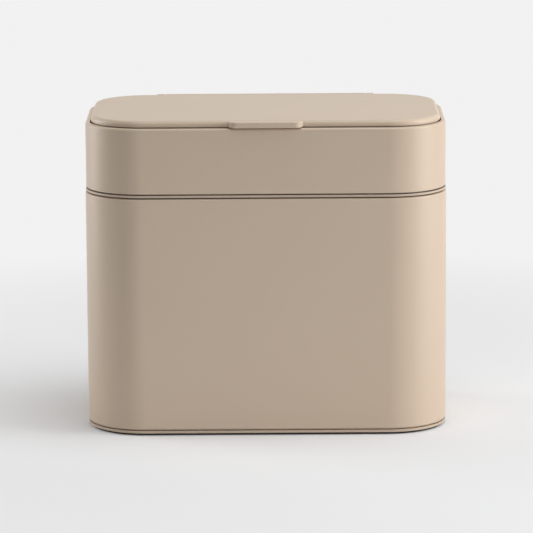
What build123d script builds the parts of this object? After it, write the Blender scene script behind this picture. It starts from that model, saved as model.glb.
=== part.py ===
"""Countertop compost caddy, in millimetres.

X runs left to right, Y from the front to the back and Z up. The parts are drawn about the middle of the
body, then moved back so that the origin is on the surface the caddy stands on, under the middle of its box.
From the bottom up it is a steel body on a moulded base, a lift-out bucket whose flange rests on the body, a
collar that rests on that flange, and a lid hinged at the back of the collar.
"""
from build123d import *
import math
import os

# Plan outline of the body, and how far inside its face the other visible parts stand.
BODY_WIDTH, BODY_DEPTH, BODY_RADIUS = 241.0, 139.0, 39.5
COLLAR_REVEAL = 0.5
BAND_REVEAL = 0.3

# Heights of the seams seen from outside.
FOOT_HEIGHT = 1.5
BASE_FLANGE_TOP = 3.3
SHELL_BOTTOM, SHELL_TOP = 4.0, 159.6
FLANGE_BOTTOM, FLANGE_TOP = 160.4, 161.9
COLLAR_BOTTOM, RIM_TOP = 162.7, 206.2
LID_TOP = 210.9

# Sheet and moulding thicknesses.
BODY_SHEET = 0.8
COLLAR_SHEET = 0.8
SHEET_EDGE = 0.6  # the round on a sheet's cut edge
BUCKET_WALL = 1.6
FRAME_WALL = 1.6
STEP_INSET = 2.5  # hidden steps that leave the dark seams open

# The body's turned-in lips, and what fits in them.
LIP_WIDTH = 4.8
LIP_BEND = 1.2
GUARD_WALL = 1.2
GUARD_DEPTH = 10.0
GUARD_BEAD_REACH, GUARD_BEAD_HEIGHT = 0.6, 1.1
FIT_GAP = 0.2
SEAT_GAP = 0.1  # between faces that rest on each other
OVERCUT = 1.0  # how far a cutting solid runs past the face it opens

# Screw heads, as shares of the shank's radius, and their round and cross recess, as shares of the head.
HEAD_RADIUS, HEAD_HEIGHT = 1.9, 1.1
HEAD_ROUND, RECESS_LENGTH, RECESS_WIDTH = 0.45, 1.3, 0.3

# The base.
BASE_SCREW_X, BASE_SCREW_Y = 84.0, 40.0
BASE_SCREW_RADIUS = 1.75
BASE_SCREW_LENGTH = 4.1
BASE_BOSS_RADIUS, BASE_BOSS_HEIGHT = 4.2, 3.2
TRAY_FLOOR, TRAY_RIM, TRAY_HEIGHT, TRAY_CAP = 2.0, 2.0, 9.0, 0.6
FOOT_INSET, FOOT_WIDTH, FOOT_EDGE = 2.2, 7.0, 0.5
FOOT_TONGUE, FOOT_GROOVE, FOOT_GROOVE_INSET = 0.8, 1.0, 1.4

# The bucket.
BUCKET_GAP = 0.75
BUCKET_BOTTOM = 9.0
BUCKET_DRAFT = 1.5
BUCKET_FLOOR_ROUND = 9.0
BUCKET_FLANGE_EDGE = 0.35
BUCKET_INSET = LIP_WIDTH + FIT_GAP + GUARD_WALL + BUCKET_GAP

# The bucket's bail handle. It lies back inside the rim at rest, and it stands up clear of the closed lid.
PIVOT_Z = 150.0
PIVOT_REACH = 111.9
PIVOT_PLAY, PIVOT_END_PLAY = 0.08, 0.4
BAIL_ARM_X, BAIL_LENGTH = 102.0, 45.0
BAIL_WIRE = 2.0
BAIL_PIVOT_BEND, BAIL_CORNER = 3.2, 20.0
BOSS_RADIUS, BOSS_FACE_X, BOSS_END_X = 5.0, 108.6, 112.6
REST_Y0, REST_Y1, REST_FACE_X, REST_DEPTH = 11.0, 16.0, 99.6, 4.0
GRIP_RADIUS, GRIP_LENGTH, GRIP_PLAY, GRIP_END_ROUND = 4.0, 84.0, 0.02, 1.4
GRIP_GROOVES, GRIP_PITCH, GRIP_GROOVE_RADIUS, GRIP_GROOVE_CENTRE = 7, 9.0, 1.1, 4.6

# The lid, its opening in the collar and the funnel below it.
RIM_WIDTH, REAR_RIM_WIDTH = 3.0, 4.0
LID_GAP = 0.7
LID_BOTTOM = 204.8
LID_EDGE_BOTTOM, LID_UNDERCUT = 206.9, 1.2  # the lid's edge stands out above its skirt
LID_SKIN, LID_SKIRT = 1.6, 1.2
LID_ROUND = 3.0
RIM_ROUND = 1.5
FUNNEL_WIDTH, FUNNEL_DEPTH, FUNNEL_RADIUS, FUNNEL_Y = 219.0, 113.0, 27.0, -2.5
SHELF_TOP = 202.6
SKIRT_BOTTOM = 158.0
SKIRT_GAP = 0.6
RIB_THICKNESS = 1.4
RIB_SPOTS_X = (-70.0, -35.0, 0.0, 35.0, 70.0)
RIB_FRONT_Y, RIB_BACK_Y, RIB_END_X = -56.0, 52.0, 107.0
COLLAR_GROOVE_INSET, COLLAR_GROOVE_WIDTH = 1.2, 3.2

# The finger tab at the front of the lid.
TAB_WIDTH, TAB_LENGTH = 49.0, 30.0
TAB_FRONT = -71.0
TAB_BOTTOM, TAB_TOP = 206.7, 210.7
TAB_CORNER, TAB_EDGE, TAB_UNDER_EDGE = 5.5, 0.9, 0.5

# The hinge: its barrel is flush with the lid's top and with the collar's rear face.
BARREL_RADIUS = 3.2
HINGE_Y, HINGE_Z = BODY_DEPTH / 2 - COLLAR_REVEAL - BARREL_RADIUS, LID_TOP - BARREL_RADIUS
BARREL_HALF = 69.0
EAR_THICKNESS, EAR_GAP = 5.0, 0.5
HINGE_END = BARREL_HALF + EAR_GAP + EAR_THICKNESS
ROD_RADIUS, ROD_PLAY = 1.25, 0.05
NOTCH_HALF, NOTCH_FLOOR = 75.1, 199.0
NOTCH_FRONT = HINGE_Y - BARREL_RADIUS - 0.6
STRIP_TOP = HINGE_Z - BARREL_RADIUS - 0.4
SEAT_THICKNESS, SEAT_FRONT = 4.0, 48.0
HINGE_SCREW_X = (-52.5, -17.5, 17.5, 52.5)
HINGE_SCREW_Y, HINGE_SCREW_RADIUS, HINGE_SCREW_LENGTH = 64.9, 1.25, 6.5
HINGE_SCREW_CAP, ROD_CHAMFER = 0.8, 0.3
LINE_WIDTH, LINE_DEPTH = 0.5, 0.8
TONGUE_FRONT, TONGUE_HALF = 58.4, 77.0

# The lid's liner, its gasket and its screws.
LINER_BOTTOM, LINER_SKIN = 205.8, 1.9
PLUG_BOTTOM, PLUG_GAP = 199.1, 1.0
LID_SCREW_SPOTS = ((-88.0, -44.0), (88.0, -44.0), (-88.0, 38.0), (88.0, 38.0))
LID_SCREW_RADIUS, LID_SCREW_LENGTH = 1.4, 3.0
LID_BOSS_RADIUS, LID_BOSS_HEIGHT = 4.2, 1.4
GASKET_REST, GASKET_EDGE = 0.3, 0.9
GASKET_INSIDE, GASKET_OUTSIDE = 0.8, 3.2  # outside the funnel's mouth
GASKET_FOOT_INSIDE, GASKET_FOOT_OUTSIDE, GASKET_FOOT_DEPTH, GASKET_PLAY = 1.4, 2.6, 1.0, 0.05

# The charcoal filter's cassette, on hooks under the back of the lid.
CASSETTE_HALF = 52.0
CASSETTE_FRONT, CASSETTE_BACK = 30.0, 48.0
CASSETTE_BOTTOM, CASSETTE_TOP = 197.4, 204.8
CASSETTE_WALL, CASSETTE_FLOOR = 1.5, 1.4
CASSETTE_CORNER, CASSETTE_EDGE = 5.0, 1.2
LUG_REACH, LUG_THICKNESS, LUG_OVERHANG, LUG_ROOT = 1.6, 2.0, 1.0, 0.8
HOOK_SPOTS_X, HOOK_LENGTH = (-36.0, 26.0), 12.0
HOOK_GAP, HOOK_OUT, HOOK_TOE, HOOK_CLEAR, HOOK_TOE_THICKNESS = 0.4, 2.0, 1.2, 0.2, 1.4
SLOT_COUNT, SLOT_PITCH, SLOT_LENGTH, SLOT_WIDTH = 17, 5.5, 9.0, 2.4
PULL_HALF_WIDTH, PULL_HALF_LENGTH, PULL_DEPTH = 1.5, 4.5, 1.2
PAD_HEADROOM = 0.6


def plan(width, depth, radius, y=0.0):
    """A rounded rectangle on the XY plane, centred at y."""
    return Pos(0, y) * RectangleRounded(width, depth, radius)


def body_plan(inset):
    """The body's outline, moved inwards all round."""
    return plan(BODY_WIDTH - 2 * inset, BODY_DEPTH - 2 * inset, BODY_RADIUS - inset)


def lid_plan(outset=0.0):
    """The lid's outline, moved outwards all round: even at the front and sides, further in at the back."""
    inset = COLLAR_REVEAL + RIM_WIDTH + LID_GAP
    front = -BODY_DEPTH / 2 + inset
    back = BODY_DEPTH / 2 - COLLAR_REVEAL - REAR_RIM_WIDTH - LID_GAP
    width, depth = BODY_WIDTH - 2 * inset, back - front
    return plan(width + 2 * outset, depth + 2 * outset, BODY_RADIUS - inset + outset, (front + back) / 2)


def funnel_plan(outset=0.0):
    """The outline of the mouth under the lid, moved outwards all round."""
    return plan(FUNNEL_WIDTH + 2 * outset, FUNNEL_DEPTH + 2 * outset, FUNNEL_RADIUS + outset, FUNNEL_Y)


def prism(section, bottom, top):
    """A section of the XY plane drawn up from one height to another."""
    return extrude(Pos(0, 0, bottom) * section, top - bottom)


def ring(outer, inner, bottom, top):
    """An upright wall between two outlines."""
    return prism(outer - inner, bottom, top)


def level_edges(shape, height):
    """The edges that lie flat at one height."""
    return shape.edges().filter_by_position(Axis.Z, height - 1e-3, height + 1e-3)


def block(x0, x1, y0, y1, z0, z1):
    """A box between two corners, given in either order."""
    middle = Pos((x0 + x1) / 2, (y0 + y1) / 2, (z0 + z1) / 2)
    return middle * Box(abs(x1 - x0), abs(y1 - y0), abs(z1 - z0))


def rod_along_x(radius, x0, x1, y, z):
    """A cylinder along X."""
    return Pos((x0 + x1) / 2, y, z) * Rot(0, 90, 0) * Cylinder(radius, abs(x1 - x0))


def post(x, y, radius, bottom, top):
    """An upright cylinder between two heights."""
    return Pos(x, y, (bottom + top) / 2) * Cylinder(radius, top - bottom)


def screw(x, y, seat, shank_radius, shank_length):
    """A pan-head screw with a cross recess, driven upwards. Its head hangs below the seat."""
    head_radius, head_height = HEAD_RADIUS * shank_radius, HEAD_HEIGHT * shank_radius
    head = post(0, 0, head_radius, -head_height, 0)
    head = fillet(level_edges(head, -head_height), HEAD_ROUND * head_height)
    slot = Pos(0, 0, -head_height) * Box(RECESS_LENGTH * head_radius, RECESS_WIDTH * head_radius, head_height)
    head -= slot + Rot(0, 0, 90) * slot
    return Pos(x, y, seat) * (head + post(0, 0, shank_radius, 0, shank_length))


# The painted steel sleeve, with both ends of the sheet turned inwards as a lip.
def body_shell():
    outside = prism(body_plan(0), SHELL_BOTTOM, SHELL_TOP)
    outside = fillet(level_edges(outside, SHELL_TOP) + level_edges(outside, SHELL_BOTTOM), LIP_BEND)
    inside = prism(body_plan(BODY_SHEET), SHELL_BOTTOM + BODY_SHEET, SHELL_TOP - BODY_SHEET)
    mouth = prism(body_plan(LIP_WIDTH), SHELL_BOTTOM, SHELL_TOP)
    return outside - inside - mouth


# The moulded guard on the body's top lip. The bucket's flange rests on it, and a bead snaps under the lip.
def rim_guard():
    hole = body_plan(LIP_WIDTH + FIT_GAP + GUARD_WALL)
    top = ring(body_plan(STEP_INSET), hole, SHELL_TOP, FLANGE_BOTTOM - SEAT_GAP)
    skirt = ring(body_plan(LIP_WIDTH + FIT_GAP), hole, SHELL_TOP - GUARD_DEPTH, SHELL_TOP)
    bead_top = SHELL_TOP - BODY_SHEET - SEAT_GAP
    bead = ring(body_plan(LIP_WIDTH - GUARD_BEAD_REACH), hole, bead_top - GUARD_BEAD_HEIGHT, bead_top)
    return top + skirt + bead


def base_corners():
    """The four places of the base's screws."""
    return [(x, y) for x in (-BASE_SCREW_X, BASE_SCREW_X) for y in (-BASE_SCREW_Y, BASE_SCREW_Y)]


def foot_tongue(inset, height):
    """The raised ring in the middle of the foot's width, or the base's groove for it."""
    outer, inner = body_plan(FOOT_INSET + inset), body_plan(FOOT_INSET + FOOT_WIDTH - inset)
    return ring(outer, inner, FOOT_HEIGHT, FOOT_HEIGHT + height)


# The base's outer moulding: its edge is the thin band below the body.
def base_cover():
    flange = prism(body_plan(BAND_REVEAL), FOOT_HEIGHT, BASE_FLANGE_TOP)
    flange = fillet(level_edges(flange, FOOT_HEIGHT), SHEET_EDGE)
    step = prism(body_plan(STEP_INSET), BASE_FLANGE_TOP, SHELL_BOTTOM)
    plug = prism(body_plan(LIP_WIDTH + FIT_GAP), SHELL_BOTTOM, SHELL_BOTTOM + BODY_SHEET + SEAT_GAP)
    made = flange + step + plug - foot_tongue(FOOT_GROOVE_INSET, FOOT_GROOVE)
    for x, y in base_corners():
        made -= post(x, y, BASE_BOSS_RADIUS, 0, BASE_FLANGE_TOP)
        made -= post(x, y, BASE_SCREW_RADIUS + FIT_GAP / 2, 0, SHELL_BOTTOM + BODY_SHEET + OVERCUT)
    return made


# The inner floor, which clamps the body's bottom lip to the base.
def floor_tray():
    bottom = SHELL_BOTTOM + BODY_SHEET + SEAT_GAP
    outline = body_plan(BODY_SHEET + FIT_GAP)
    made = prism(outline, bottom, bottom + TRAY_FLOOR)
    made += ring(outline, body_plan(BODY_SHEET + FIT_GAP + TRAY_RIM), bottom, bottom + TRAY_HEIGHT)
    for x, y in base_corners():
        made += post(x, y, BASE_BOSS_RADIUS, bottom, bottom + BASE_BOSS_HEIGHT)
        made -= post(x, y, BASE_SCREW_RADIUS, bottom, bottom + BASE_BOSS_HEIGHT - TRAY_CAP)
    return made


def base_screws():
    spots = base_corners()
    return Compound([screw(x, y, BASE_FLANGE_TOP, BASE_SCREW_RADIUS, BASE_SCREW_LENGTH) for x, y in spots])


# The rubber foot: a ring whose tongue is pressed into the base's groove.
def foot_ring():
    made = ring(body_plan(FOOT_INSET), body_plan(FOOT_INSET + FOOT_WIDTH), 0, FOOT_HEIGHT)
    made = fillet(level_edges(made, 0), FOOT_EDGE)
    return made + foot_tongue(FOOT_GROOVE_INSET + FIT_GAP, FOOT_TONGUE)


def bucket_section(height, wall):
    """The bucket's outline at a height, moved in by the wall."""
    inset = BUCKET_INSET + (FLANGE_BOTTOM - height) * math.tan(math.radians(BUCKET_DRAFT)) + wall
    return Pos(0, 0, height) * body_plan(inset)


# The lift-out bucket: a tapered tub hung by its flange, whose edge is the thin band above the body. Inside
# the rim it has a drilled boss at each end for the handle, and rests that stop the handle's arms when it lies
# back or forwards.
def inner_bucket():
    outside = loft([bucket_section(BUCKET_BOTTOM, 0), bucket_section(FLANGE_TOP, 0)])
    outside = fillet(level_edges(outside, BUCKET_BOTTOM), BUCKET_FLOOR_ROUND)
    floor = BUCKET_BOTTOM + BUCKET_WALL
    inside = loft([bucket_section(floor, BUCKET_WALL), bucket_section(FLANGE_TOP + OVERCUT, BUCKET_WALL)])
    inside = fillet(level_edges(inside, floor), BUCKET_FLOOR_ROUND - BUCKET_WALL)
    flange = prism(body_plan(BAND_REVEAL), FLANGE_BOTTOM, FLANGE_TOP)
    flange = fillet(level_edges(flange, FLANGE_TOP) + level_edges(flange, FLANGE_BOTTOM), BUCKET_FLANGE_EDGE)
    made = outside + flange - inside
    rest_top = PIVOT_Z - BAIL_WIRE - SEAT_GAP
    for side in (1, -1):
        boss_x, end_x, rest_x = side * BOSS_FACE_X, side * BOSS_END_X, side * REST_FACE_X
        bore_x0, bore_x1 = side * (BOSS_FACE_X - OVERCUT), side * (PIVOT_REACH + PIVOT_END_PLAY)
        made += rod_along_x(BOSS_RADIUS, boss_x, end_x, 0, PIVOT_Z)
        made -= rod_along_x(BAIL_WIRE + PIVOT_PLAY, bore_x0, bore_x1, 0, PIVOT_Z)
        for way in (1, -1):
            made += block(rest_x, end_x, way * REST_Y0, way * REST_Y1, rest_top - REST_DEPTH, rest_top)
    return made


# The bail: one bent wire, whose ends turn out into the bucket's bosses.
def handle_bail():
    half = [(PIVOT_REACH, 0, PIVOT_Z), (BAIL_ARM_X, 0, PIVOT_Z), (BAIL_ARM_X, BAIL_LENGTH, PIVOT_Z)]
    route = half + [(-x, y, z) for x, y, z in reversed(half)]
    path = FilletPolyline(*route, radius=[BAIL_PIVOT_BEND, BAIL_CORNER, BAIL_CORNER, BAIL_PIVOT_BEND])
    return sweep(Plane(origin=path @ 0, z_dir=path % 0) * Circle(BAIL_WIRE), path=path)


# The moulded grip on the bail, turned about the wire, with finger grooves round it.
def handle_grip():
    bore = BAIL_WIRE + GRIP_PLAY
    section = Pos(0, (bore + GRIP_RADIUS) / 2) * Rectangle(GRIP_LENGTH, GRIP_RADIUS - bore)
    section = fillet(section.vertices().sort_by(Axis.Y)[-2:], GRIP_END_ROUND)
    for n in range(GRIP_GROOVES):
        x = GRIP_PITCH * (n - (GRIP_GROOVES - 1) / 2)
        section -= Pos(x, GRIP_GROOVE_CENTRE) * Circle(GRIP_GROOVE_RADIUS)
    return Pos(0, BAIL_LENGTH, PIVOT_Z) * revolve(section, Axis.X)


# The painted collar: a sleeve whose top edge is turned in as the rim round the lid, notched for the hinge.
def collar_shell():
    outside = prism(body_plan(COLLAR_REVEAL), COLLAR_BOTTOM, RIM_TOP)
    outside = fillet(level_edges(outside, RIM_TOP), RIM_ROUND)
    outside = fillet(level_edges(outside, COLLAR_BOTTOM), SHEET_EDGE)
    inside = prism(body_plan(COLLAR_REVEAL + COLLAR_SHEET), COLLAR_BOTTOM, RIM_TOP - COLLAR_SHEET)
    mouth = prism(lid_plan(LID_GAP), RIM_TOP - 2 * COLLAR_SHEET, RIM_TOP + OVERCUT)
    notch = block(-NOTCH_HALF, NOTCH_HALF, TONGUE_FRONT, BODY_DEPTH, NOTCH_FLOOR, RIM_TOP + OVERCUT)
    return outside - inside - mouth - notch


FRAME_INSET = COLLAR_REVEAL + COLLAR_SHEET + SEAT_GAP


def collar_ribs():
    """Upright ribs between the collar's sleeve and the funnel, at the front, the back and the two ends."""
    half_depth, half_width = BODY_DEPTH / 2 - FRAME_INSET, BODY_WIDTH / 2 - FRAME_INSET
    bottom, top = COLLAR_BOTTOM, SHELF_TOP - FRAME_WALL / 2
    back_top = NOTCH_FLOOR - SEAT_THICKNESS / 2
    half = RIB_THICKNESS / 2
    ribs = []
    for x in RIB_SPOTS_X:
        ribs.append(block(x - half, x + half, -half_depth, RIB_FRONT_Y, bottom, top))
        ribs.append(block(x - half, x + half, RIB_BACK_Y, half_depth, bottom, back_top))
    for side in (1, -1):
        ribs.append(block(side * RIB_END_X, side * half_width, -half, half, bottom, top))
    return ribs


def funnel_solid(lower_inset, upper_outset):
    """The funnel's tapered space, from the skirt's foot to the shelf, for one pair of outlines."""
    foot_top = COLLAR_BOTTOM + FRAME_WALL
    lower = body_plan(lower_inset)
    tapered = loft([Pos(0, 0, foot_top) * lower, Pos(0, 0, SHELF_TOP) * funnel_plan(upper_outset)])
    return tapered + prism(lower, SKIRT_BOTTOM, foot_top)


FUNNEL_INSET = BUCKET_INSET + BUCKET_WALL + SKIRT_GAP


# The funnel: a thin tapered moulding that leads scraps past the collar, with a skirt that hangs inside the
# bucket.
def collar_funnel():
    return funnel_solid(FUNNEL_INSET, FRAME_WALL) - funnel_solid(FUNNEL_INSET + FRAME_WALL, 0)


def collar_groove(play):
    """The groove in the foot of the collar's frame, and with some play the silicone ring in it."""
    near = FRAME_INSET + COLLAR_GROOVE_INSET + play
    far = FRAME_INSET + COLLAR_GROOVE_INSET + COLLAR_GROOVE_WIDTH - play
    bottom = FLANGE_TOP + play
    return ring(body_plan(near), body_plan(far), bottom, COLLAR_BOTTOM + FOOT_TONGUE - play)


# The collar's inner frame: a shelf for the lid's gasket, a foot that rests on the bucket's flange through a
# gasket, ribs between them, and the seat that the hinge bracket is screwed to. It stands round the funnel.
def collar_frame():
    outline = body_plan(FRAME_INSET)
    top = RIM_TOP - COLLAR_SHEET - SEAT_GAP
    made = prism(outline, SHELF_TOP - FRAME_WALL, SHELF_TOP)
    made += ring(outline, body_plan(FRAME_INSET + FRAME_WALL), SHELF_TOP - FRAME_WALL, top)
    made += prism(outline, COLLAR_BOTTOM, COLLAR_BOTTOM + FRAME_WALL)
    made -= block(-NOTCH_HALF, NOTCH_HALF, NOTCH_FRONT, BODY_DEPTH, NOTCH_FLOOR - SEAT_GAP, RIM_TOP)
    seat_bottom, seat_half = NOTCH_FLOOR - SEAT_THICKNESS, NOTCH_HALF - FIT_GAP
    seat_back = BODY_DEPTH / 2 - FRAME_INSET
    made += block(-seat_half, seat_half, SEAT_FRONT, seat_back, seat_bottom, NOTCH_FLOOR - SEAT_GAP)
    made += block(-seat_half, seat_half, SEAT_FRONT, NOTCH_FRONT, seat_bottom, SHELF_TOP)
    for rib in collar_ribs():
        made += rib
    made -= funnel_solid(FUNNEL_INSET - SEAT_GAP, FRAME_WALL + SEAT_GAP)
    for x in HINGE_SCREW_X:
        made -= post(x, HINGE_SCREW_Y, HINGE_SCREW_RADIUS + FIT_GAP / 2, seat_bottom, NOTCH_FLOOR)
    return made - collar_groove(0.0)


# The silicone ring under the collar's foot.
def collar_gasket():
    return collar_groove(SEAT_GAP)


# The painted hinge bracket: a strip in the collar's notch with an ear at each end of the lid's barrel.
def hinge_bracket():
    front, back = HINGE_Y - BARREL_RADIUS, HINGE_Y + BARREL_RADIUS
    made = block(-HINGE_END, HINGE_END, front, back, NOTCH_FLOOR, STRIP_TOP)
    for side in (1, -1):
        x0, x1 = side * (BARREL_HALF + EAR_GAP), side * HINGE_END
        made += rod_along_x(BARREL_RADIUS, x0, x1, HINGE_Y, HINGE_Z)
        made += block(x0, x1, front, back, NOTCH_FLOOR, HINGE_Z)
    made -= rod_along_x(ROD_RADIUS, -HINGE_END - OVERCUT, HINGE_END + OVERCUT, HINGE_Y, HINGE_Z)
    for x in HINGE_SCREW_X:
        made -= post(x, HINGE_SCREW_Y, HINGE_SCREW_RADIUS, NOTCH_FLOOR, STRIP_TOP - HINGE_SCREW_CAP)
    return made


# The hinge's steel rod, held in the bracket's ears and free in the lid's barrel.
def hinge_rod():
    rod = rod_along_x(ROD_RADIUS, -HINGE_END, HINGE_END, HINGE_Y, HINGE_Z)
    return chamfer(rod.edges().filter_by(GeomType.CIRCLE), ROD_CHAMFER)


def hinge_screws():
    seat = NOTCH_FLOOR - SEAT_THICKNESS
    radius, length = HINGE_SCREW_RADIUS, HINGE_SCREW_LENGTH
    return Compound([screw(x, HINGE_SCREW_Y, seat, radius, length) for x in HINGE_SCREW_X])


# The painted lid: a shallow tray, with the finger tab at the front and the hinge barrel at the back. Its edge
# overhangs its skirt, which keeps the gap round the lid dark. A fine line parts the barrel from the plate.
def lid_panel():
    plate = prism(lid_plan(), LID_EDGE_BOTTOM, LID_TOP)
    plate = fillet(level_edges(plate, LID_TOP), LID_ROUND)
    plate += prism(lid_plan(-LID_UNDERCUT), LID_BOTTOM, LID_EDGE_BOTTOM)
    tab_plan = plan(TAB_WIDTH, TAB_LENGTH, TAB_CORNER, TAB_FRONT + TAB_LENGTH / 2)
    tab = prism(tab_plan, TAB_BOTTOM, TAB_TOP)
    tab = fillet(level_edges(tab, TAB_TOP), TAB_EDGE)
    tab = fillet(level_edges(tab, TAB_BOTTOM), TAB_UNDER_EDGE)
    solid_back = block(-TONGUE_HALF, TONGUE_HALF, TONGUE_FRONT, BODY_DEPTH, LID_BOTTOM, LID_TOP)
    hollow = prism(lid_plan(-LID_UNDERCUT - LID_SKIRT), LID_BOTTOM, LID_TOP - LID_SKIN)
    made = plate + tab - (hollow - solid_back)
    for side in (1, -1):
        near, far = side * BARREL_HALF, side * (HINGE_END + EAR_GAP)
        made -= block(near, far, NOTCH_FRONT, BODY_DEPTH, LID_BOTTOM - OVERCUT, LID_TOP + OVERCUT)
    made += block(-BARREL_HALF, BARREL_HALF, TONGUE_FRONT, HINGE_Y, LID_BOTTOM, LID_TOP)
    made += rod_along_x(BARREL_RADIUS, -BARREL_HALF, BARREL_HALF, HINGE_Y, HINGE_Z)
    line_back, line_bottom = HINGE_Y - BARREL_RADIUS, LID_TOP - LINE_DEPTH
    line_front = line_back - LINE_WIDTH
    made -= block(-BARREL_HALF, BARREL_HALF, line_front, line_back, line_bottom, LID_TOP + OVERCUT)
    reach = BARREL_HALF + OVERCUT
    return made - rod_along_x(ROD_RADIUS + ROD_PLAY, -reach, reach, HINGE_Y, HINGE_Z)


def gasket_foot(play):
    """The gasket's foot, and with no play the groove that it is pressed into."""
    outer, inner = funnel_plan(GASKET_FOOT_OUTSIDE - play), funnel_plan(GASKET_FOOT_INSIDE + play)
    return ring(outer, inner, LINER_BOTTOM, LINER_BOTTOM + GASKET_FOOT_DEPTH - play)


def cassette_hooks():
    """Two L-shaped hooks along each long side of the filter cassette, each closed at its left end."""
    bottom = CASSETTE_TOP - LUG_THICKNESS - HOOK_CLEAR - HOOK_TOE_THICKNESS
    hooks = []
    for x in HOOK_SPOTS_X:
        for face, out in ((CASSETTE_FRONT, -1), (CASSETTE_BACK, 1)):
            near, far, toe = face + out * HOOK_GAP, face + out * HOOK_OUT, face - out * HOOK_TOE
            hooks.append(block(x, x + HOOK_LENGTH, near, far, bottom, LINER_BOTTOM))
            hooks.append(block(x, x + HOOK_LENGTH, toe, far, bottom, bottom + HOOK_TOE_THICKNESS))
            stop = x - LUG_OVERHANG - SEAT_GAP
            hooks.append(block(stop - HOOK_TOE_THICKNESS, stop, toe, far, bottom, LINER_BOTTOM))
    return hooks


def liner_outline(inset):
    """The liner's outline inside the lid's skirt and in front of its tongue, moved inwards all round."""
    edge, front = TONGUE_HALF + FIT_GAP + inset, TONGUE_FRONT - FIT_GAP - inset
    tongue = Pos(0, front + BODY_DEPTH / 2) * Rectangle(2 * edge, BODY_DEPTH)
    return lid_plan(-LID_UNDERCUT - LID_SKIRT - FIT_GAP - inset) - tongue


# The lid's inner moulding: a shallow tray that stands against the lid, with the plug that enters the funnel,
# the gasket's groove, screw bosses and the hooks that hold the filter cassette.
def lid_liner():
    top = LID_TOP - LID_SKIN - SEAT_GAP
    made = prism(liner_outline(0), LINER_BOTTOM, top)
    made -= prism(liner_outline(FRAME_WALL), LINER_BOTTOM + LINER_SKIN, top)
    made += ring(funnel_plan(-PLUG_GAP), funnel_plan(-PLUG_GAP - FRAME_WALL), PLUG_BOTTOM, LINER_BOTTOM)
    for x, y in LID_SCREW_SPOTS:
        made += post(x, y, LID_BOSS_RADIUS, LINER_BOTTOM - LID_BOSS_HEIGHT, top)
        made -= post(x, y, LID_SCREW_RADIUS, LINER_BOTTOM - LID_BOSS_HEIGHT, top)
    for hook in cassette_hooks():
        made += hook
    return made - gasket_foot(0.0)


def lid_screws():
    seat = LINER_BOTTOM - LID_BOSS_HEIGHT
    return Compound([screw(x, y, seat, LID_SCREW_RADIUS, LID_SCREW_LENGTH) for x, y in LID_SCREW_SPOTS])


# The silicone ring that the lid closes on.
def lid_gasket():
    bottom = SHELF_TOP + GASKET_REST
    made = ring(funnel_plan(GASKET_OUTSIDE), funnel_plan(GASKET_INSIDE), bottom, LINER_BOTTOM)
    made = fillet(level_edges(made, bottom), GASKET_EDGE)
    return made + gasket_foot(GASKET_PLAY)


def cassette_plan(inset):
    """The cassette's outline between its lugs, moved inwards all round."""
    width = 2 * (CASSETTE_HALF - inset)
    depth = CASSETTE_BACK - CASSETTE_FRONT - 2 * (LUG_REACH + inset)
    return plan(width, depth, CASSETTE_CORNER - inset, (CASSETTE_BACK + CASSETTE_FRONT) / 2)


# The filter's slotted cassette, with lugs that slide along over the lid's hooks and a small pull in the
# middle.
def filter_cassette():
    middle, floor_top = (CASSETTE_BACK + CASSETTE_FRONT) / 2, CASSETTE_BOTTOM + CASSETTE_FLOOR
    outside = prism(cassette_plan(0), CASSETTE_BOTTOM, CASSETTE_TOP)
    outside = fillet(level_edges(outside, CASSETTE_BOTTOM), CASSETTE_EDGE)
    made = outside - prism(cassette_plan(CASSETTE_WALL), floor_top, CASSETTE_TOP)
    lug_bottom = CASSETTE_TOP - LUG_THICKNESS
    for x in HOOK_SPOTS_X:
        x0, x1 = x - LUG_OVERHANG, x + HOOK_LENGTH + LUG_OVERHANG
        for face, inwards in ((CASSETTE_FRONT, 1), (CASSETTE_BACK, -1)):
            root = face + inwards * (LUG_REACH + LUG_ROOT)
            made += block(x0, x1, face, root, lug_bottom, CASSETTE_TOP)
    slot = Rot(0, 0, 90) * SlotOverall(SLOT_LENGTH, SLOT_WIDTH)
    for n in range(SLOT_COUNT):
        x = SLOT_PITCH * (n - (SLOT_COUNT - 1) / 2)
        if abs(x) > SLOT_PITCH:
            made -= prism(Pos(x, middle) * slot, CASSETTE_BOTTOM - OVERCUT, floor_top + OVERCUT)
    pull_front, pull_back = middle - PULL_HALF_LENGTH, middle + PULL_HALF_LENGTH
    pull_bottom = CASSETTE_BOTTOM - PULL_DEPTH
    return made + block(-PULL_HALF_WIDTH, PULL_HALF_WIDTH, pull_front, pull_back, pull_bottom, floor_top)


def filter_pad():
    bottom = CASSETTE_BOTTOM + CASSETTE_FLOOR + SEAT_GAP
    return prism(cassette_plan(CASSETTE_WALL + FIT_GAP), bottom, CASSETTE_TOP - PAD_HEADROOM)


NODES = [
    body_shell,
    rim_guard,
    base_cover,
    floor_tray,
    base_screws,
    foot_ring,
    inner_bucket,
    handle_bail,
    handle_grip,
    collar_shell,
    collar_funnel,
    collar_frame,
    collar_gasket,
    hinge_bracket,
    hinge_rod,
    hinge_screws,
    lid_panel,
    lid_liner,
    lid_gasket,
    lid_screws,
    filter_cassette,
    filter_pad,
]

BOX_SHIFT = -(BODY_DEPTH / 2 + TAB_FRONT) / 2

os.makedirs("parts", exist_ok=True)
for node in NODES:
    solids = [Pos(0, BOX_SHIFT, 0) * solid for solid in node().solids()]
    export_step(solids[0] if len(solids) == 1 else Compound(solids), f"parts/{node.__name__}.step")
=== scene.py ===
import math

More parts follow.
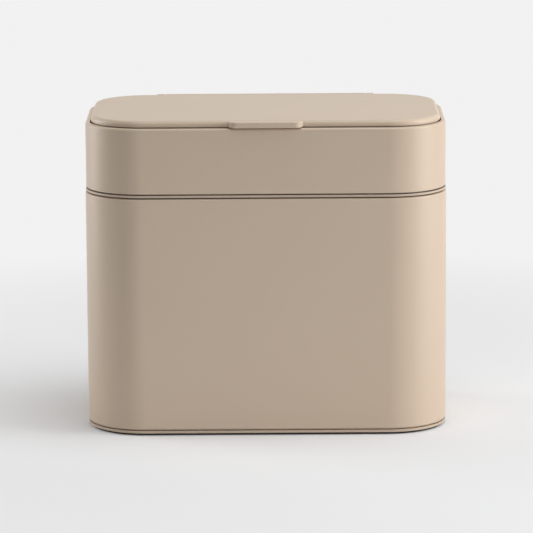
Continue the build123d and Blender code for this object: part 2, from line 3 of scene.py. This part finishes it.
import bpy
import numpy as np
from mathutils import Matrix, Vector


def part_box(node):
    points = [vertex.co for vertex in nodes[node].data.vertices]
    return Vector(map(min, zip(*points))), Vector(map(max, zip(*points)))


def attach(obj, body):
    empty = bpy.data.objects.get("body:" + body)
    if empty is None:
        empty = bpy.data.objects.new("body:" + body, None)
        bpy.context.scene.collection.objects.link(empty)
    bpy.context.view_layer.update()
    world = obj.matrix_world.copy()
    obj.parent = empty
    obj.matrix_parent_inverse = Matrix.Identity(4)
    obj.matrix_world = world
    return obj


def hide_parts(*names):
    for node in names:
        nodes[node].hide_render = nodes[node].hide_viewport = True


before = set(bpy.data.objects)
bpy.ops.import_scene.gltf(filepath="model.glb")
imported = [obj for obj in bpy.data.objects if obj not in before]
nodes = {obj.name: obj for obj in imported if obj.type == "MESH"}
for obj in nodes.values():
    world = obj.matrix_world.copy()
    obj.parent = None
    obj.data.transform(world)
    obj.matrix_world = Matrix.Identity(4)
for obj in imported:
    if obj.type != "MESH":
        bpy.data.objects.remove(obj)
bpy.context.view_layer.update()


# The camera stands 2.4 m in front of the caddy and looks down on it through a long lens, so that the sides
# stay nearly upright, and it leans by a third of a degree as the photograph does. Its focal length and the
# picture's width are in pixels.
sensor_width = 36.0
focal_length, picture_width = 3592, 533
stands_at = (0.0001, -2.39925, 0.5501)
looks_down, leans = math.radians(10.59), math.radians(-0.35)


def new_object(name, data):
    """A new object of the scene, which holds a camera, a lamp or a mesh."""
    made = bpy.data.objects.new(name, data)
    bpy.context.scene.collection.objects.link(made)
    return made


camera = new_object("camera", bpy.data.cameras.new("camera"))
camera.data.sensor_width = sensor_width
camera.data.lens = sensor_width * focal_length / picture_width
camera.data.clip_end = 20.0
camera.matrix_world = (
    Matrix.Translation(stands_at)
    @ Matrix.Rotation(math.pi / 2 - looks_down, 4, "X")
    @ Matrix.Rotation(leans, 4, "Z")
)
bpy.context.scene.camera = camera
bpy.context.scene.view_settings.view_transform = "Standard"


# The studio is a pale round table top that fades into an equally pale distance on every side. A large soft
# lamp stands on the right, a narrower one a little behind on the left, and one hangs overhead. A low strip
# in front brightens the foot of the front face.
class Wire:
    """One value in a tree of nodes. Arithmetic on it adds Math nodes, and make adds any other node."""

    def __init__(self, tree, socket=None):
        self.tree, self.socket = tree, socket

    def output(self, name):
        """Another output of the same node."""
        return Wire(self.tree, self.socket.node.outputs[name])

    def make(self, kind, inputs=None, output=0, **settings):
        """A node of a kind, with its settings, and then the values or wires of its sockets."""
        node = self.tree.nodes.new(kind)
        for name, value in settings.items():
            setattr(node, name, value)
        for name, value in (inputs or {}).items():
            if isinstance(value, Wire):
                self.tree.links.new(value.socket, node.inputs[name])
            else:
                node.inputs[name].default_value = value
        return Wire(self.tree, node.outputs[output] if len(node.outputs) else None)

    def math(self, operation, a, b):
        """A Math node on two wires or numbers."""
        return self.make("ShaderNodeMath", {0: a, 1: b}, operation=operation)

    def __add__(self, other):
        return self.math("ADD", self, other)

    def __radd__(self, other):
        return self.math("ADD", other, self)

    def __mul__(self, other):
        return self.math("MULTIPLY", self, other)

    def __rmul__(self, other):
        return self.math("MULTIPLY", other, self)


def new_material(name):
    """An empty material, and the wire from which its nodes are made."""
    material = bpy.data.materials.new(name)
    material.use_nodes = True
    material.node_tree.nodes.clear()
    return material, Wire(material.node_tree)


def surface_place(start):
    """The place of a surface's point in the coordinates of its object."""
    return start.make("ShaderNodeTexCoord", output="Object")


def seen_directly(start):
    """One where a ray comes from the camera, a mirror or glass, and zero where it only carries light."""
    ray = start.make("ShaderNodeLightPath", output="Is Camera Ray")
    return start.math("MINIMUM", ray + ray.output("Is Glossy Ray") + ray.output("Is Transmission Ray"), 1.0)


def ring_neighbours(rings, count):
    """For closed rings of points that are numbered ring by ring: the number of each point of all rings but
    the last, and the number of the next point round its ring. Adding count gives the same place on the
    next ring."""
    first = count * np.arange(rings - 1)[:, None]
    return first + np.arange(count), first + (np.arange(count) + 1) % count


def round_top(radius, rings=24, spokes=96):
    """A flat disc at the height of zero. The radii of its rings of points grow as the square of the ring's
    number. Quads join the rings, and triangles join the smallest ring to a point in the middle."""
    reach = radius * (np.arange(1, rings + 1) / rings) ** 2
    turn = 2 * np.pi * np.arange(spokes) / spokes
    flat = np.zeros((rings, spokes))
    points = np.stack([np.outer(reach, np.cos(turn)), np.outer(reach, np.sin(turn)), flat], axis=2)
    here, onward = 1 + np.stack(ring_neighbours(rings, spokes))
    middle = np.stack([np.zeros(spokes, int), here[0], onward[0]], axis=1)
    quads = np.stack([here, here + spokes, onward + spokes, onward], axis=2).reshape(-1, 4)
    mesh = bpy.data.meshes.new("table_top")
    mesh.from_pydata([(0, 0, 0)] + points.reshape(-1, 3).tolist(), [], middle.tolist() + quads.tolist())
    return mesh


top_radius = 9.0
top_colour = (0.85, 0.855, 0.865, 1)
distance_tone = (0.885, 0.885, 0.885, 1)

# The table top fades to the distance's tone between these radii, and has this share of it inside them.
fade_from, fade_to, least_fade = 0.06, 0.62, 0.05

top_material, start = new_material("pale_table_top")
reach = start.make("ShaderNodeVectorMath", {0: surface_place(start)}, output="Value", operation="LENGTH")
fade = start.make(
    "ShaderNodeMapRange",
    {"Value": reach, "From Min": fade_from, "From Max": fade_to, "To Min": least_fade, "To Max": 1.0},
)
diffuse = start.make("ShaderNodeBsdfDiffuse", {"Color": top_colour})
glow = start.make("ShaderNodeEmission", {"Color": distance_tone, "Strength": 1.0})
surface = start.make("ShaderNodeMixShader", {0: seen_directly(start) * fade, 1: diffuse, 2: glow})
start.make("ShaderNodeOutputMaterial", {"Surface": surface})

table_top = new_object("table_top", round_top(top_radius))
table_top.data.materials.append(top_material)

room_light = 0.14
world = bpy.data.worlds.new("studio")
bpy.context.scene.world = world
world.use_nodes = True
world.node_tree.nodes.clear()
start = Wire(world.node_tree)
room = start.make("ShaderNodeBackground", {"Color": (1, 1, 1, 1), "Strength": room_light})
distance = start.make("ShaderNodeBackground", {"Color": distance_tone, "Strength": 1.0})
surroundings = start.make("ShaderNodeMixShader", {0: seen_directly(start), 1: room, 2: distance})
start.make("ShaderNodeOutputWorld", {"Surface": surroundings})


def soft_light(name, place, aim, width, height, watts, spread=180):
    """A rectangular lamp that is turned to face its aim, which isn't straight below it. The camera doesn't
    see the lamp itself, and a spread under 180 degrees narrows its light as a grid does."""
    lamp = bpy.data.lights.new(name, "AREA")
    lamp.shape = "RECTANGLE"
    lamp.size, lamp.size_y = width, height
    lamp.energy, lamp.spread = watts, math.radians(spread)
    holder = new_object(name, lamp)
    holder.visible_camera = False
    away = np.subtract(place, aim)
    back = away / np.linalg.norm(away)
    side = np.cross((0, 0, 1), back)
    side = side / np.linalg.norm(side)
    turned = np.stack([side, np.cross(back, side), back], axis=1)
    holder.matrix_world = Matrix.Translation(place) @ Matrix(turned.tolist()).to_4x4()


soft_light("right_light", place=(1.15, -0.30, 0.42), aim=(0, 0, 0.12), width=0.7, height=1.0, watts=12.2)
soft_light("left_light", place=(-1.05, 0.35, 0.30), aim=(0, 0, 0.12), width=0.5, height=0.9, watts=7.0)
soft_light("top_light", place=(0.25, -0.13, 1.5), aim=(0, 0, 0.15), width=1.0, height=0.9, watts=10.7)
soft_light(
    "front_strip", place=(0, -0.95, 0.03), aim=(0, 0, 0.03), width=1.0, height=0.05, watts=0.15, spread=60
)


# The body and the collar are sleeves of sheet steel. They, the lid and the hinge bracket have the same
# satin powder coat in warm taupe, even, with a very fine orange peel that only shows along the highlights.
gloss_range = 0.06
sharp_from = math.radians(32)
weld_reach = 1e-6

# A Mix node's two colours are these of its inputs, and the mixed colour is this of its outputs.
first_colour, second_colour, mixed_colour = 6, 7, 2


def noise(start, scale, detail=2.0):
    """Cloudy noise of about one bump in 1 / scale metres."""
    place = surface_place(start)
    return start.make("ShaderNodeTexNoise", {"Vector": place, "Scale": scale, "Detail": detail})


def new_finish(name, colour, roughness, grain_scale, grain_height, drift, drift_scale=14.0, metallic=0.0):
    """A material with a slow drift of its colour and gloss, and a fine grain. Noise mixes the colour from
    a little darker to a little lighter, by the share drift either way. Noise three times as fine carries
    the roughness through gloss_range. The grain is a bump of noise, with its height in metres."""
    material, start = new_material(name)
    cloud = noise(start, drift_scale, detail=3.0)
    darker = tuple(c * (1 - drift) for c in colour) + (1,)
    lighter = tuple(c * (1 + drift) for c in colour) + (1,)
    colours = {0: cloud, first_colour: darker, second_colour: lighter}
    tint = start.make("ShaderNodeMix", colours, output=mixed_colour, data_type="RGBA")
    grain = noise(start, grain_scale)
    relief = start.make("ShaderNodeBump", {"Height": grain, "Strength": 1.0, "Distance": grain_height})
    gloss = roughness - gloss_range / 2 + gloss_range * noise(start, 3 * drift_scale)
    inputs = {"Base Color": tint, "Roughness": gloss, "Normal": relief, "Metallic": metallic}
    start.make("ShaderNodeOutputMaterial", {"Surface": start.make("ShaderNodeBsdfPrincipled", inputs)})
    return material


def keep_edges_crisp():
    """A modifier's nodes. Every face is smooth, and an edge that turns by sharp_from or more is sharp."""
    group = bpy.data.node_groups.new("crisp_edges", "GeometryNodeTree")
    group.interface.new_socket("Geometry", in_out="INPUT", socket_type="NodeSocketGeometry")
    group.interface.new_socket("Geometry", in_out="OUTPUT", socket_type="NodeSocketGeometry")
    start = Wire(group)
    shape = start.make("NodeGroupInput")
    smooth = start.make("GeometryNodeSetShadeSmooth", {"Geometry": shape}, domain="FACE")
    turn = start.make("GeometryNodeInputMeshEdgeAngle")
    gentle = start.make("FunctionNodeCompare", {0: turn, 1: sharp_from}, operation="LESS_THAN")
    edges = {"Geometry": smooth, "Shade Smooth": gentle}
    start.make("NodeGroupOutput", {0: start.make("GeometryNodeSetShadeSmooth", edges, domain="EDGE")})
    return group


crisp_edges = keep_edges_crisp()


def dress(material, *names):
    """Gives CAD nodes their finish, and shades their curves smooth between their crisp edges."""
    for name in names:
        for slot in nodes[name].material_slots:
            slot.link = "OBJECT"
            slot.material = material
        weld = nodes[name].modifiers.new("weld", "WELD")
        weld.merge_threshold = weld_reach
        edges = nodes[name].modifiers.new("crisp", "NODES")
        edges.node_group = crisp_edges
        even = nodes[name].modifiers.new("even", "WEIGHTED_NORMAL")
        even.keep_sharp = True
        even.weight = 100


taupe_paint = new_finish(
    "taupe_paint", (0.580, 0.460, 0.348), roughness=0.42, grain_scale=1400, grain_height=12e-6, drift=0.012
)
dress(taupe_paint, "body_shell", "collar_shell", "hinge_bracket", "lid_panel")


# The base is a moulding in the body's colour whose edge shows as a thin band, on a black rubber foot ring
# that makes the dark line under the caddy. Screws clamp the body between it and a dark moulded tray
# inside. A guard of the same plastic as the tray is snapped on the body's top lip.
taupe_plastic = new_finish(
    "taupe_plastic", (0.53, 0.425, 0.325), roughness=0.55, grain_scale=2200, grain_height=15e-6, drift=0.02
)
dark_plastic = new_finish(
    "dark_plastic", (0.035, 0.031, 0.027), roughness=0.60, grain_scale=2600, grain_height=20e-6, drift=0.08
)
foot_rubber = new_finish(
    "foot_rubber", (0.016, 0.015, 0.014), roughness=0.75, grain_scale=1800, grain_height=30e-6, drift=0.1
)
screw_zinc = new_finish(
    "screw_zinc",
    (0.60, 0.60, 0.61),
    roughness=0.32,
    grain_scale=3000,
    grain_height=6e-6,
    drift=0.05,
    metallic=1.0,
)
dress(taupe_plastic, "base_cover")
dress(foot_rubber, "foot_ring")
dress(dark_plastic, "floor_tray", "rim_guard")
dress(screw_zinc, "base_screws")


# The lift-out bucket is moulded in nearly the same taupe. Its bail is drawn steel wire, whose ends turn in
# bosses inside the bucket's rim, and the grip with finger grooves is moulded on the bail.
bucket_plastic = new_finish(
    "bucket_plastic", (0.51, 0.408, 0.312), roughness=0.50, grain_scale=1700, grain_height=20e-6, drift=0.02
)
grip_plastic = new_finish(
    "grip_plastic", (0.075, 0.066, 0.056), roughness=0.62, grain_scale=2400, grain_height=30e-6, drift=0.06
)
drawn_steel = new_finish(
    "drawn_steel",
    (0.60, 0.59, 0.57),
    roughness=0.28,
    grain_scale=900,
    grain_height=6e-6,
    drift=0.04,
    metallic=1.0,
)
dress(bucket_plastic, "inner_bucket")
dress(drawn_steel, "handle_bail")
dress(grip_plastic, "handle_grip")


# Inside the collar stand two dark mouldings: a frame with the seats of the lid and the hinge, and a thin
# funnel that leads scraps past it. A silicone ring is pressed into the frame's foot. The hinge turns on a
# steel rod, and screws hold its bracket.
# The silicone's dark brown is partly its own colour and partly painted shade. It is darkened so that the
# seams where it shows read darker.
silicone = new_finish(
    "seal_silicone", (0.14, 0.125, 0.11), roughness=0.50, grain_scale=1500, grain_height=10e-6, drift=0.03
)
dress(dark_plastic, "collar_frame", "collar_funnel")
dress(silicone, "collar_gasket")
dress(drawn_steel, "hinge_rod")
dress(screw_zinc, "hinge_screws")


# Under the lid a moulded liner, held by screws, reaches into the funnel with its plug. It carries the
# silicone ring that the lid closes on, and the slotted cassette of the charcoal filter on its hooks.
dress(dark_plastic, "lid_liner")
dress(silicone, "lid_gasket")
dress(screw_zinc, "lid_screws")
dress(bucket_plastic, "filter_cassette")


# The filter is a slab of needled felt, black with charcoal, cut to fill its cassette and laid in it
# without glue. It shows through the cassette's slots once the lid is open.
def slab_outline(half_x, half_y, corner, count, arc_steps=9):
    """Points spaced evenly along the length of a rectangle's outline whose corners are quarter circles."""
    turn = np.linspace(0, np.pi / 2, arc_steps)
    arcs = []
    for side_x, side_y, first in ((1, 1, 0), (-1, 1, np.pi / 2), (-1, -1, np.pi), (1, -1, 3 * np.pi / 2)):
        x = side_x * (half_x - corner) + corner * np.cos(turn + first)
        y = side_y * (half_y - corner) + corner * np.sin(turn + first)
        arcs.append(np.stack([x, y], axis=1))
    loop = np.vstack(arcs + [arcs[0][:1]])
    run = np.concatenate([[0], np.cumsum(np.linalg.norm(np.diff(loop, axis=0), axis=1))])
    along = np.linspace(0, run[-1], count, endpoint=False)
    return np.stack([np.interp(along, run, loop[:, 0]), np.interp(along, run, loop[:, 1])], axis=1)


def felt_slab(low, high, corner, uneven, count=160, rim_steps=9, face_steps=10):
    """A closed slab that fills a box. Its rim is a half circle as high as the box, carried round the
    outline: at each turn of the half circle the outline is drawn in by half the height times one minus the
    cosine, and raised by half the height times the sine. The radius of its corners shrinks by as much, but
    not below a quarter. Each face is the rim's last ring shrunk towards the middle in even steps, and a
    point closes it. The faces are dented by uneven times one plus the product of two slow sine waves, and
    the dent fades from the middle to nothing at the ellipse that touches the box's sides."""
    low, high = np.array(low), np.array(high)
    middle, half = (low + high) / 2, (high - low) / 2
    rim = []
    for turn in np.linspace(-np.pi / 2, np.pi / 2, rim_steps):
        inset = half[2] * (1 - np.cos(turn))
        ring = slab_outline(half[0] - inset, half[1] - inset, max(corner - inset, corner / 4), count)
        rim.append(np.column_stack([ring, np.full(count, half[2] * np.sin(turn))]))
    shrink = np.linspace(0, 1, face_steps, endpoint=False)[1:, None, None]
    shrink = np.concatenate([shrink, shrink, np.ones_like(shrink)], axis=2)
    rings = np.vstack([rim[0] * shrink, np.array(rim), rim[-1] * shrink[::-1]])

    x, y, z = np.moveaxis(rings, 2, 0)
    inner = 1 - np.minimum(1, np.hypot(x / half[0], y / half[1]))
    wave_x, wave_y, shift_x, shift_y = 260, 410, 1.0, 0.5
    waves = np.sin(wave_x * x + shift_x) * np.sin(wave_y * y + shift_y)
    rings[:, :, 2] -= np.sign(z) * uneven * inner * (1 + waves)

    here, onward = ring_neighbours(len(rings), count)
    quads = np.stack([here, onward, onward + count, here + count], axis=2).reshape(-1, 4)
    bottom, top = len(rings) * count, len(rings) * count + 1
    under = np.stack([np.full(count, bottom), onward[0], here[0]], axis=1)
    over = np.stack([np.full(count, top), here[-1] + count, onward[-1] + count], axis=1)
    points = np.vstack([rings.reshape(-1, 3), [[0, 0, -half[2]]], [[0, 0, half[2]]]]) + middle
    mesh = bpy.data.meshes.new("charcoal_felt_slab")
    mesh.from_pydata(points.tolist(), [], quads.tolist() + under.tolist() + over.tolist())
    mesh.polygons.foreach_set("use_smooth", np.ones(len(mesh.polygons), bool))
    mesh.update()
    return mesh


charcoal_felt = new_finish(
    "charcoal_felt",
    (0.020, 0.020, 0.021),
    roughness=0.95,
    grain_scale=1300,
    grain_height=250e-6,
    drift=0.35,
    drift_scale=420.0,
)
pad_low, pad_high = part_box("filter_pad")
slab = new_object("charcoal_felt_slab", felt_slab(pad_low, pad_high, corner=0.003, uneven=0.0003))
slab.data.materials.append(charcoal_felt)
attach(slab, "filter")
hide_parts("filter_pad")
